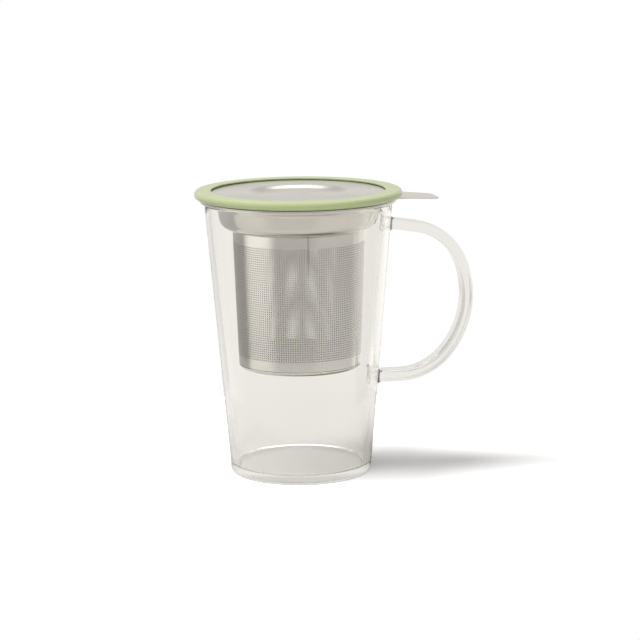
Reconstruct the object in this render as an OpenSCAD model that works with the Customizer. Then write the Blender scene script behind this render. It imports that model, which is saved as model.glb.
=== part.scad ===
// Glass tea mug with a lift-out steel infuser and a lift-off lid of steel and silicone.
// The mug's axis is Z, its foot stands on z = 0 and its handle points along +X.
// All sizes are in millimetres and all radii of sheet are those of its outer face.

/* [Mug] */
// Height of the glass rim above the foot
mug_h = 119.4; // [100:0.2:135]
// Outer radius of the glass at the rim
rim_r = 40.9; // [38:0.1:46]
// Outer radius of the straight wall, carried down to the foot
foot_r = 30.7; // [28:0.1:36]
// Wall thickness at the rim
wall_rim_t = 2.2; // [1.8:0.1:3]
// Wall thickness at the floor
wall_floor_t = 3.1; // [2.2:0.1:4]
// Thickness of the floor
floor_t = 3.8; // [2.5:0.1:6]
// Radius of the outer corner round the foot
foot_round = 1.4; // [0.6:0.1:2]
// Radius of the corner between the floor and the inside wall
floor_round = 2; // [1:0.1:4]

/* [Handle] */
// Thickness of the glass strap, seen from the side
strap_t = 5.2; // [4:0.1:7]
// Width of the strap, across the hand
strap_w = 10.4; // [8:0.1:14]
// Depth of the upper joint below the rim
handle_below_rim = 11; // [9:0.1:16]
// Downward slope of the upper arm, in degrees
arm_slope = 9; // [0:1:20]
// Length of the straight upper arm outside the wall
arm_len = 12; // [6:0.5:16]
// Radius of the upper bend
upper_bend_r = 26.5; // [20:0.5:32]
// Angle of the upper bend, in degrees
upper_bend_angle = 58; // [45:1:70]
// Radius of the grip
grip_r = 39; // [30:0.5:46]
// Angle of the grip, in degrees
grip_angle = 65; // [50:1:75]
// Radius of the lower bend
lower_bend_r = 27; // [20:0.5:32]
// Width by which each joint flares on every side
joint_flare = 0.9; // [0.3:0.1:2]
// Length over which each joint flares
joint_len = 2.4; // [1:0.1:4]

/* [Infuser] */
// Thickness of the steel sheet
sheet_t = 0.5; // [0.4:0.05:0.8]
// Depth of the whole infuser below the rim
infuser_depth = 72.2; // [55:0.2:90]
// Gap between the drawn collar and the inside of the rim
collar_gap = 3.5; // [2.6:0.1:5]
// Depth of the collar below the rim
collar_depth = 11.6; // [10:0.1:18]
// Radius between the collar's flange and its side
flange_bend = 3; // [1:0.1:3]
// Radius between the collar's side and its shoulder
shoulder_bend = 5.5; // [2:0.1:6]
// Width of the shoulder between the collar and the sleeve
shoulder_w = 6.4; // [5.6:0.1:8]
// Depth of the turned-down neck inside the sleeve
neck_depth = 3; // [1.5:0.1:5]
// Inward taper of the sleeve over its length
sleeve_taper = 2.1; // [0:0.1:4]
// Height of the base's turned-up edge
base_wall_h = 1.7; // [1.6:0.1:4]
// Radius of the base's lower corner
base_round = 0.9; // [0.8:0.1:1.2]

/* [Rim plate and tab] */
// Reach of the rim plate beyond the glass
flange_overhang = 1.6; // [0.8:0.1:3]
// Reach of the rim plate inside the collar's side
rim_plate_inset = 1.2; // [0.4:0.1:2]
// Distance from the axis to the end of the tab
tab_reach = 61.4; // [54:0.1:66]
// Width of the tab where it leaves the rim plate
tab_root_w = 22; // [16:0.5:26]
// Width of the tab at its end
tab_end_w = 16; // [12:0.5:20]
// Radius of the tab's end corners
tab_corner_r = 4; // [2:0.5:6]
// Radius of the fillets where the tab leaves the rim plate
tab_fillet_r = 3; // [1:0.5:4]
// Distance from the rim plate's edge to the bend of the tab
tab_bend_out = 4; // [3:0.5:6]
// Droop of the tab beyond its bend, in degrees
tab_droop = 4; // [0:0.5:8]

/* [Lid] */
// Reach of the silicone ring beyond the rim plate
ring_overhang = 2.5; // [1:0.1:4]
// Radial width of the ring's top face
ring_w = 7.2; // [6:0.1:9]
// Height of the ring's rounded edge
ring_h = 3.55; // [3:0.05:5]
// Lift of the rounded edge above the rim plate
ring_lift = 0.5; // [0.2:0.1:1]
// Depth of the steel plate below the ring's top face
plate_recess = 0.9; // [0.5:0.1:1.5]
// Thickness of the steel plate
plate_t = 0.6; // [0.4:0.05:1]
// Width of the plate's edge held in the ring's groove
plate_bite = 2.7; // [1.5:0.1:3.5]
// Radius of the dish in the middle of the plate
dish_r = 21.6; // [14:0.2:26]
// Depth of the dish
dish_depth = 1.3; // [0.5:0.1:1.6]
// Width of the dish's sloping side
dish_slope_w = 1.8; // [1.4:0.1:3]
// Depth of the ring's skirt inside the collar
skirt_depth = 3.6; // [2:0.1:6]
// Thickness of the skirt
skirt_t = 1.6; // [1.2:0.1:3]
// Gap between the skirt and the collar
skirt_gap = 0.5; // [0.3:0.05:1]

/* [Hidden] */
$fn = 96;

// Clearance between sheets that are spot-welded over each other
weld_gap = 0.05;
// Steps on each rounded corner of a turned outline
corner_steps = 6;

glass_colour = [0.90, 0.90, 0.87, 0.45];
steel_colour = [0.76, 0.75, 0.72];
lid_steel_colour = [0.83, 0.82, 0.78];
silicone_colour = [0.76, 0.82, 0.62];

// The glass
wall_slope = (rim_r - foot_r) / mug_h;
function outer_wall_r(z) = foot_r + wall_slope * z;
rim_inner_r = rim_r - wall_rim_t;
floor_inner_r = outer_wall_r(floor_t) - wall_floor_t;
rim_round = 0.45 * wall_rim_t;

// The strap's middle line leaves the wall at arm_start, turns through three bends
// that together face it about, and comes back along a level lower arm
lower_bend_angle = 180 - arm_slope - upper_bend_angle - grip_angle;
arm_z = mug_h - handle_below_rim;
arm_start = [outer_wall_r(arm_z), arm_z];
arm_end = arm_start + arm_len * heading(-arm_slope);
upper_bend_end = bend_end(arm_end, -arm_slope, upper_bend_r, upper_bend_angle);
grip_start_heading = -arm_slope - upper_bend_angle;
grip_end = bend_end(upper_bend_end, grip_start_heading, grip_r, grip_angle);
lower_bend_heading = grip_start_heading - grip_angle;
lower_arm_start = bend_end(grip_end, lower_bend_heading, lower_bend_r, lower_bend_angle);
lower_arm_wall_r = outer_wall_r(lower_arm_start.y);
// Length of strap that starts inside the wall, before the wall trims it
strap_root = wall_rim_t;
// Points round the strap, and the angle between its rings in a bend
strap_sides = 24;
strap_step = 5;
// Straight length left between the lower arm's last ring and the bend
arm_gap = 0.5;

// The infuser, from the rim down
collar_r = rim_inner_r - collar_gap;
collar_z = mug_h - collar_depth;
collar_top_z = mug_h + sheet_t;
sleeve_top_r = collar_r - shoulder_w;
sleeve_bottom_r = sleeve_top_r - sleeve_taper;
base_z = mug_h - infuser_depth;
// The sleeve stands where the base's wall is straight, and ends where the neck is
sleeve_z = base_z + base_round;
neck_bend = 0.4;
sleeve_top_z = collar_z - neck_bend;
sleeve_slope = sleeve_taper / (sleeve_top_z - sleeve_z);
function sleeve_r(z) = sleeve_bottom_r + sleeve_slope * (z - sleeve_z);
neck_r = sleeve_r(collar_z) - sheet_t - weld_gap;
neck_low_r = neck_r - sleeve_slope * neck_depth;
base_r = sleeve_r(base_z + base_wall_h) + weld_gap + sheet_t;

// The rim plate, welded on the collar's flange
flange_r = rim_r + flange_overhang;
rim_plate_top_z = collar_top_z + sheet_t;
rim_plate_inner_r = collar_r + flange_bend - rim_plate_inset;
tab_bend_x = flange_r + tab_bend_out;
// Overlap of the tab's two flats at the bend
tab_joint = 0.3;
// Centre of the fillet on the tab's +Y side, which touches the ring and the tab's side
fillet_centre_y = tab_root_w / 2 + tab_fillet_r;
fillet_centre_x = sqrt(pow(flange_r + tab_fillet_r, 2) - pow(fillet_centre_y, 2));

// The lid, seated on the rim plate
ring_r = flange_r + ring_overhang;
ring_inner_r = ring_r - ring_w;
ring_under_z = rim_plate_top_z + ring_lift;
ring_top_z = ring_under_z + ring_h;
plate_r = ring_inner_r + plate_bite;
plate_top_z = ring_top_z - plate_recess;
plate_under_z = plate_top_z - plate_t;
skirt_r = collar_r - sheet_t - skirt_gap;
skirt_inner_r = skirt_r - skirt_t;
skirt_z = rim_plate_top_z - skirt_depth;
// Outer radius of the ring's foot on the rim plate
seat_r = flange_r - 1;

// Unit vector at angle a to the first axis
function heading(a) = [cos(a), sin(a)];

// End of a clockwise bend of radius r through angle turn, that starts at p with heading a
function bend_end(p, a, r, turn) = p + r * (heading(a - 90) - heading(a - turn - 90));

function unit(v) = v / norm(v);

// Angle a brought between -180 and 180 degrees
function wrapped(a) = a - 360 * floor((a + 180) / 360);

// Arc of radius r that rounds the corner b between its neighbours a and c
function corner_arc(a, b, c, r) =
    let (u = unit(a - b), v = unit(c - b), half = acos(u * v) / 2,
         centre = b + unit(u + v) * r / sin(half),
         start = b + u * r / tan(half) - centre,
         stop = b + v * r / tan(half) - centre,
         first = atan2(start.y, start.x),
         sweep = wrapped(atan2(stop.y, stop.x) - first))
    [for (i = [0 : corner_steps]) centre + r * heading(first + sweep * i / corner_steps)];

// Outline whose corners are given as [x, y, radius], a radius of 0 staying sharp
function rounded(corners) =
    let (n = len(corners))
    [for (i = [0 : n - 1])
        let (a = corners[(i + n - 1) % n], b = corners[i], c = corners[(i + 1) % n])
        each b.z > 0 ? corner_arc([a.x, a.y], [b.x, b.y], [c.x, c.y], b.z) : [[b.x, b.y]]];

// Distance along the mitre from a corner of a path to the same corner of its offset
function mitre(before, after, t) = unit(before + after) * t / (unit(before + after) * after);

// Left-hand normal of the step from a to b
function normal(a, b) = let (d = unit([b.x - a.x, b.y - a.y])) [-d.y, d.x];

// Path moved by t to its left, whose bends keep their centres
function moved_path(path, t) =
    let (n = len(path))
    [for (i = [0 : n - 1])
        let (before = normal(path[max(i - 1, 0)], path[max(i, 1)]),
             after = normal(path[min(i, n - 2)], path[min(i + 1, n - 1)]),
             shift = mitre(before, after, t),
             turns_left = before.x * after.y - before.y * after.x > 0,
             r = path[i].z)
        [path[i].x + shift.x, path[i].y + shift.y, r == 0 ? 0 : turns_left ? r - t : r + t]];

// Closed outline of a sheet of thickness t that lies to the left of path
function sheet_outline(path, t) =
    let (other = moved_path(path, t), n = len(path))
    rounded(concat(path, [for (i = [n - 1 : -1 : 0]) other[i]]));

// Solid turned about the mug's axis from an outline of [radius, height] points
module turned(outline) {
    rotate_extrude() polygon(outline);
}

// Oval ring of the strap about station = [x, height, heading, growth on every side]
function strap_ring(station) =
    let (t = strap_t / 2 + station[3], flat = (strap_w - strap_t) / 2, across = heading(station[2] + 90))
    [for (i = [0 : strap_sides - 1])
        let (a = 360 * (i + 0.5) / strap_sides, out = t * cos(a), side = t * sin(a))
        [station.x + out * across.x, side + sign(side) * flat, station.y + out * across.y]];

// Stations on a straight arm, from the wall point p outwards along heading a, with its flare
function arm_stations(p, a, length) =
    let (steps = 5)
    concat([[each p - strap_root * heading(a), a, joint_flare]],
           [for (i = [0 : steps]) [each p + joint_len * i / steps * heading(a), a,
                                   joint_flare * pow(1 - i / steps, 2)]],
           [[each p + length * heading(a), a, 0]]);

// Stations round a clockwise bend of radius r through angle turn from point p with heading a
function bend_stations(p, a, r, turn) =
    let (steps = ceil(turn / strap_step))
    [for (i = [1 : steps]) [each bend_end(p, a, r, turn * i / steps), a - turn * i / steps, 0]];

// The same stations walked from the other end
function reversed(stations) =
    [for (i = [len(stations) - 1 : -1 : 0])
        let (s = stations[i]) [s.x, s.y, s[2] + 180, s[3]]];

// Closed skin over a row of rings that all have the same number of points
module skin(rings) {
    n = len(rings[0]);
    last = len(rings) - 1;
    polyhedron(
        points = [for (ring = rings) each ring],
        faces = concat(
            [[for (i = [0 : n - 1]) i]],
            [for (k = [0 : last - 1], i = [0 : n - 1])
                [k * n + i, (k + 1) * n + i, (k + 1) * n + (i + 1) % n, k * n + (i + 1) % n]],
            [[for (i = [n - 1 : -1 : 0]) last * n + i]]));
}

module mug_body() {
    color(glass_colour) turned(rounded([
        [0, 0, 0],
        [foot_r, 0, foot_round],
        [rim_r, mug_h, rim_round],
        [rim_inner_r, mug_h, rim_round],
        [floor_inner_r, floor_t, floor_round],
        [0, floor_t, 0]
    ]));
}

// One bent strap of glass, fused to the wall at both ends
module handle() {
    lower_arm_len = lower_arm_start.x - lower_arm_wall_r;
    stations = concat(
        arm_stations(arm_start, -arm_slope, arm_len),
        bend_stations(arm_end, -arm_slope, upper_bend_r, upper_bend_angle),
        bend_stations(upper_bend_end, grip_start_heading, grip_r, grip_angle),
        bend_stations(grip_end, lower_bend_heading, lower_bend_r, lower_bend_angle),
        reversed(arm_stations([lower_arm_wall_r, lower_arm_start.y], 0, lower_arm_len - arm_gap)));
    color(glass_colour) difference() {
        skin([for (station = stations) strap_ring(station)]);
        cylinder(h = mug_h, r1 = foot_r, r2 = rim_r);
    }
}

// Drawn bowl that hangs in the rim, with a flange above and a neck for the sleeve below
module basket_collar() {
    outer_face = [
        [neck_low_r, collar_z - neck_depth, 0],
        [neck_r, collar_z, neck_bend],
        [collar_r, collar_z, shoulder_bend],
        [collar_r, mug_h, flange_bend],
        [flange_r, mug_h, 0]
    ];
    color(steel_colour) turned(sheet_outline(outer_face, sheet_t));
}

// Corner piece that blends the rim plate's edge into the tab's +Y side
module tab_fillet() {
    half_w = tab_root_w / 2;
    difference() {
        polygon([[0, 0], [fillet_centre_x, half_w], [fillet_centre_x, fillet_centre_y],
                 [fillet_centre_x, fillet_centre_y] * flange_r / (flange_r + tab_fillet_r)]);
        translate([fillet_centre_x, fillet_centre_y]) circle(r = tab_fillet_r);
    }
}

// Flat stamped ring on the collar's flange, with the finger tab that lifts the infuser out
module basket_rim() {
    tab_out = tab_reach - tab_bend_x;
    root_half_w = tab_root_w / 2;
    end_half_w = tab_end_w / 2;
    color(steel_colour) {
        translate([0, 0, collar_top_z]) linear_extrude(sheet_t) difference() {
            union() {
                circle(r = flange_r);
                translate([0, -root_half_w]) square([tab_bend_x, tab_root_w]);
                tab_fillet();
                mirror([0, 1]) tab_fillet();
            }
            circle(r = rim_plate_inner_r);
        }
        translate([tab_bend_x, 0, collar_top_z]) rotate([0, tab_droop, 0])
            linear_extrude(sheet_t) polygon(rounded([
                [-tab_joint, -root_half_w, 0],
                [0, -root_half_w, 0],
                [tab_out, -end_half_w, tab_corner_r],
                [tab_out, end_half_w, tab_corner_r],
                [0, root_half_w, 0],
                [-tab_joint, root_half_w, 0]
            ]));
    }
}

// Rolled sleeve of perforated sheet; its fine holes are too small to draw here
module basket_sleeve() {
    h = sleeve_top_z - sleeve_z;
    color(steel_colour) translate([0, 0, sleeve_z]) difference() {
        cylinder(h = h, r1 = sleeve_bottom_r, r2 = sleeve_top_r);
        cylinder(h = h, r1 = sleeve_bottom_r - sheet_t, r2 = sleeve_top_r - sheet_t);
    }
}

// Pressed pan that closes the sleeve and wraps its lower edge
module basket_base() {
    outer_face = [
        [0, base_z, 0],
        [base_r - sleeve_slope * base_wall_h, base_z, base_round],
        [base_r, base_z + base_wall_h, 0]
    ];
    color(steel_colour) turned(sheet_outline(outer_face, sheet_t));
}

// Steel disc with a shallow round dish
module lid_plate() {
    top_face = [
        [plate_r, plate_top_z, 0],
        [dish_r, plate_top_z, 1.2],
        [dish_r - dish_slope_w, plate_top_z - dish_depth, 0.6],
        [0, plate_top_z - dish_depth, 0]
    ];
    color(lid_steel_colour) turned(sheet_outline(top_face, plate_t));
}

// Silicone ring that grips the plate, rests on the rim plate and plugs the collar
module lid_ring() {
    edge_round = 0.48 * ring_h;
    color(silicone_colour) turned(rounded([
        [skirt_inner_r, skirt_z, 0.3],
        [skirt_r, skirt_z, 0.5],
        [skirt_r, rim_plate_top_z, 0],
        [seat_r, rim_plate_top_z, 0.2],
        [seat_r, ring_under_z, 0],
        [ring_r, ring_under_z, edge_round],
        [ring_r, ring_top_z, edge_round],
        [ring_inner_r, ring_top_z, 0.4],
        [ring_inner_r, plate_top_z, 0],
        [plate_r, plate_top_z, 0],
        [plate_r, plate_under_z, 0],
        [skirt_inner_r, plate_under_z, 0]
    ]));
}

mug_body();
handle();
basket_collar();
basket_rim();
basket_sleeve();
basket_base();
lid_plate();
lid_ring();
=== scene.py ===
"""Glass tea mug with a lift-out steel infuser and a lift-off lid of steel and silicone.

The mug's axis is Z, its foot stands on z = 0 and its handle points along +X. Lengths are in
metres and angles in radians, and every mesh keeps its place in its own points.
"""

import logging
import math
from dataclasses import dataclass, field
from enum import Enum

import bpy
import numpy as np
from mathutils import Matrix, Vector

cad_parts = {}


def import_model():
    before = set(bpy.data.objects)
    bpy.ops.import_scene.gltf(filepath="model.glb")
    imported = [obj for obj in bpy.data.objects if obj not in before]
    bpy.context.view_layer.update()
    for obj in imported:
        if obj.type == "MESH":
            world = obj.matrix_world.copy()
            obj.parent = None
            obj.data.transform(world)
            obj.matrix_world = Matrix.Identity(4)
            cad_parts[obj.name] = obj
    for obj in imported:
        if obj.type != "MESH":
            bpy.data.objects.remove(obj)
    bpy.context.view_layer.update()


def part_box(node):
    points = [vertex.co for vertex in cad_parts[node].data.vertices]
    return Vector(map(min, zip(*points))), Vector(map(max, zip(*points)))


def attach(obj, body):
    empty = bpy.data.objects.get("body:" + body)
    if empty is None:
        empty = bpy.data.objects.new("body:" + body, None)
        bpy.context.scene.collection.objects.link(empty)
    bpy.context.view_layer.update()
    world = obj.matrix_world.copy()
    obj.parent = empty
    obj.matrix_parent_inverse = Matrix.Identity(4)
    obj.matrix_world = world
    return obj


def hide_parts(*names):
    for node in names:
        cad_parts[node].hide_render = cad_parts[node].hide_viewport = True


LOG = logging.getLogger("tea_mug")
MM = 0.001

# Facets round every turned piece, and steps on every rounded corner of an outline
TURN_SIDES = 256
CORNER_STEPS = 12
# Longest step along a steel outline, so that a bend doesn't tilt the shading beside it
STEEL_STEP = 0.8 * MM
# Edges that fold by more than this stay crisp
CREASE = math.radians(32)
# Turn of brushed metal's stretched gloss from the line round the axis, in whole turns
GLOSS_TURN = 0.25


class Body(Enum):
    """The three bodies that come apart."""

    MUG = "mug"
    BASKET = "basket"
    LID = "lid"


class Slot(Enum):
    """The record's material slots."""

    GLASS = "glass"
    SATIN_STEEL = "satin_steel"
    TURNED_STEEL = "turned_steel"
    SILICONE = "silicone"


# ---------------------------------------------------------------- outlines


def unit(vectors: np.ndarray) -> np.ndarray:
    """Vectors brought to length 1 along their last axis."""
    return vectors / np.linalg.norm(vectors, axis=-1, keepdims=True)


def rounded(corners: np.ndarray, closed: bool = True, steps: int = CORNER_STEPS) -> np.ndarray:
    """Outline in a plane whose corners are turned into arcs.

    The arc at a corner touches both its sides: its centre lies on the corner's bisector, at
    the radius over the sine of half the corner's angle. A radius of 0 keeps the corner sharp.

    Args:
        corners: One row [across, up, radius] for each corner.
        closed: Whether the last corner joins the first.
        steps: Steps on each arc.

    Returns:
        The outline's points, one row [across, up] each.
    """
    spot, radius = corners[:, :2], corners[:, 2:]
    to_before = unit(np.roll(spot, 1, axis=0) - spot)
    to_after = unit(np.roll(spot, -1, axis=0) - spot)
    half = np.arccos(np.sum(to_before * to_after, axis=1, keepdims=True)) / 2
    centre = spot + unit(to_before + to_after) * radius / np.sin(half)
    start = spot + to_before * radius / np.tan(half) - centre
    stop = spot + to_after * radius / np.tan(half) - centre
    first = np.arctan2(start[:, 1], start[:, 0])
    sweep = np.arctan2(stop[:, 1], stop[:, 0]) - first
    sweep = (sweep + math.pi) % (2 * math.pi) - math.pi
    angle = first[:, None] + sweep[:, None] * np.linspace(0, 1, steps + 1)
    arcs = centre[:, None] + radius[:, None] * np.stack([np.cos(angle), np.sin(angle)], axis=-1)
    sharp = radius[:, 0] <= 0
    if not closed:
        sharp[[0, -1]] = True
    arcs[sharp] = spot[sharp, None]
    keep = np.ones(arcs.shape[:2], bool)
    keep[sharp, 1:] = False
    return arcs[keep]


def sheet_outline(path: np.ndarray, thickness: float) -> np.ndarray:
    """Closed outline of a bent sheet that lies to the left of a path.

    Each corner of the second face lies on the mitre of the first face's corner, and its bend
    keeps the same centre, so its radius grows or shrinks by the thickness.

    Args:
        path: Corners of one face, one row [across, up, radius] each.
        thickness: Thickness of the sheet.

    Returns:
        The outline's points, one row [across, up] each.
    """
    step = unit(np.diff(path[:, :2], axis=0))
    normal = np.stack([-step[:, 1], step[:, 0]], axis=1)
    before = np.concatenate([normal[:1], normal])
    after = np.concatenate([normal, normal[-1:]])
    mitre = unit(before + after)
    shift = mitre * thickness / np.sum(mitre * after, axis=1, keepdims=True)
    turns_left = before[:, 0] * after[:, 1] - before[:, 1] * after[:, 0] > 0
    other_radius = path[:, 2] + np.where(turns_left, -thickness, thickness)
    other_radius[path[:, 2] == 0] = 0
    other = np.column_stack([path[:, :2] + shift, other_radius])
    return rounded(np.concatenate([path, other[::-1]]))


def filled_in(outline: np.ndarray, spacing: float, closed: bool = False) -> np.ndarray:
    """The same outline with points added, so that no step is longer than spacing.

    Args:
        outline: Points, one row each.
        spacing: Longest step allowed.
        closed: Whether the last point joins the first.

    Returns:
        The outline with its own points and the added ones, evenly spread on each step.
    """
    ends = np.roll(outline, -1, axis=0) if closed else outline[1:]
    starts = outline if closed else outline[:-1]
    parts = np.ceil(np.linalg.norm(ends - starts, axis=1) / spacing).astype(int)
    which = np.repeat(np.arange(len(parts)), parts)
    share = (np.arange(len(which)) - (np.cumsum(parts) - parts)[which]) / parts[which]
    points = starts[which] + (ends - starts)[which] * share[:, None]
    return points if closed else np.concatenate([points, outline[-1:]])


# ------------------------------------------------------------------- skins


@dataclass
class Skin:
    """Closed skin of a piece: its points, and its faces in groups of equal corner count."""

    points: np.ndarray
    faces: list[np.ndarray]

    def tidied(self) -> "Skin":
        """The skin without the points that no face uses.

        Returns:
            A skin of the same faces, whose corners are numbered anew.
        """
        corners = np.concatenate([f.ravel() for f in self.faces])
        used, place = np.unique(corners, return_inverse=True)
        ends = np.cumsum([f.size for f in self.faces])[:-1]
        parts = np.split(place.ravel(), ends)
        return Skin(self.points[used], [p.reshape(f.shape) for p, f in zip(parts, self.faces)])


def grid_quads(rows: int, columns: int, closed_rows: bool, closed_columns: bool) -> np.ndarray:
    """Quads of a grid of points that are numbered row by row.

    Args:
        rows: Number of rows of points.
        columns: Number of points in a row.
        closed_rows: Whether the last row joins the first.
        closed_columns: Whether the last column joins the first.

    Returns:
        One row of four point numbers for each quad.
    """
    row = np.arange(rows if closed_rows else rows - 1)[:, None]
    column = np.arange(columns if closed_columns else columns - 1)[None, :]
    next_row = (row + 1) % rows
    next_column = (column + 1) % columns
    corners = (
        row * columns + column,
        next_row * columns + column,
        next_row * columns + next_column,
        row * columns + next_column,
    )
    return np.stack(np.broadcast_arrays(*corners), axis=-1).reshape(-1, 4)


def round_points(radius: np.ndarray, height: np.ndarray, angles: np.ndarray) -> np.ndarray:
    """Points about Z: radius times cosine, radius times sine, height.

    Args:
        radius: Radius at each height, or a row of them for each angle.
        height: The heights.
        angles: Angles about Z.

    Returns:
        One row [x, y, z] for each angle and height, angle by angle.
    """
    x = np.cos(angles)[:, None] * radius
    y = np.sin(angles)[:, None] * radius
    z = np.broadcast_to(height, x.shape)
    return np.stack([x, y, z], axis=-1).reshape(-1, 3)


def turned(outline: np.ndarray, sides: int = TURN_SIDES) -> Skin:
    """Skin of an outline of [radius, height] points turned about Z.

    The outline runs anticlockwise, with the solid on its left. Where it starts and ends on
    the axis, each end becomes one point with a fan of triangles.

    Args:
        outline: Points of the outline, one row each.
        sides: Facets round the axis.

    Returns:
        The closed skin, whose faces point outwards.
    """
    angles = np.linspace(0, 2 * math.pi, sides, endpoint=False)
    on_axis = outline[0, 0] == 0 and outline[-1, 0] == 0
    if not on_axis:
        quads = grid_quads(sides, len(outline), True, True)
        return Skin(round_points(*outline.T, angles), [quads])
    side = outline[1:-1]
    quads = grid_quads(sides, len(side), True, False)
    low, high = sides * len(side), sides * len(side) + 1
    start = np.arange(sides) * len(side)
    after = np.roll(start, -1)
    last = len(side) - 1
    fan_low = np.column_stack([np.full(sides, low), after, start])
    fan_high = np.column_stack([np.full(sides, high), start + last, after + last])
    poles = [[0, 0, outline[0, 1]], [0, 0, outline[-1, 1]]]
    points = np.concatenate([round_points(*side.T, angles), poles])
    return Skin(points, [quads, fan_low, fan_high])


def sheet_quads(solid: np.ndarray, hole: np.ndarray, closed: bool, other: int) -> np.ndarray:
    """Quads of a two-sided sheet on a grid, pierced where cells are holes.

    Each solid cell gets a face on the first side, with its corners in anticlockwise order, and
    one with the same corners reversed on the other side. Where a solid cell borders a hole,
    its edge gets a wall that joins the two sides.

    Args:
        solid: Which cells are solid, as [column, row].
        hole: Which cells are holes, in the same order.
        closed: Whether the last column of cells joins the first.
        other: How far the other side's point numbers lie above the first side's.

    Returns:
        One row of four point numbers for each quad.
    """
    columns, rows = solid.shape
    across = np.arange(columns)[:, None]
    up = np.arange(rows)[None, :]
    lines = rows + 1
    right = (across + 1) % columns if closed else across + 1
    corner = np.stack(
        np.broadcast_arrays(
            across * lines + up,
            right * lines + up,
            right * lines + up + 1,
            across * lines + up + 1,
        ),
        axis=-1,
    )
    beside = np.pad(hole, ((1, 1), (0, 0)), mode="wrap" if closed else "constant")
    above = np.pad(hole, ((0, 0), (1, 1)), constant_values=closed)
    neighbours = (above[:, :-2], beside[2:], above[:, 2:], beside[:-2])
    walls = []
    for edge, next_to_hole in enumerate(neighbours):
        a = corner[..., edge][solid & next_to_hole]
        b = corner[..., (edge + 1) % 4][solid & next_to_hole]
        walls.append(np.column_stack([b, a, a + other, b + other]))
    front = corner[solid]
    return np.concatenate([front, front[:, ::-1] + other, *walls])


def written(name: str, skin: Skin, crease: float = CREASE) -> bpy.types.Mesh:
    """A Blender mesh of a skin, shaded smooth but for its folded edges.

    Args:
        name: Name of the mesh.
        skin: Points and faces to write.
        crease: Edges that fold by more than this angle stay crisp.

    Returns:
        The mesh.
    """
    mesh = bpy.data.meshes.new(name)
    mesh.vertices.add(len(skin.points))
    mesh.vertices.foreach_set("co", skin.points.astype(np.float32).ravel())
    corners = np.concatenate([f.ravel() for f in skin.faces]).astype(np.int32)
    sizes = np.concatenate([np.full(len(f), f.shape[1], np.int32) for f in skin.faces])
    mesh.loops.add(len(corners))
    mesh.loops.foreach_set("vertex_index", corners)
    mesh.polygons.add(len(sizes))
    mesh.polygons.foreach_set("loop_start", (np.cumsum(sizes) - sizes).astype(np.int32))
    mesh.update(calc_edges=True)
    shade(mesh, crease)
    return mesh


def shade(mesh: bpy.types.Mesh, crease: float) -> None:
    """Smooth shading on every face, with crisp edges where the mesh folds sharply."""
    mesh.shade_smooth()
    mesh.set_sharp_from_angle(angle=crease)


# ---------------------------------------------------------------- finishes


@dataclass(frozen=True)
class Fade:
    """Range over which a number brings a share from 0 at its start up to 1 at its end."""

    start: float
    end: float


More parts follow.
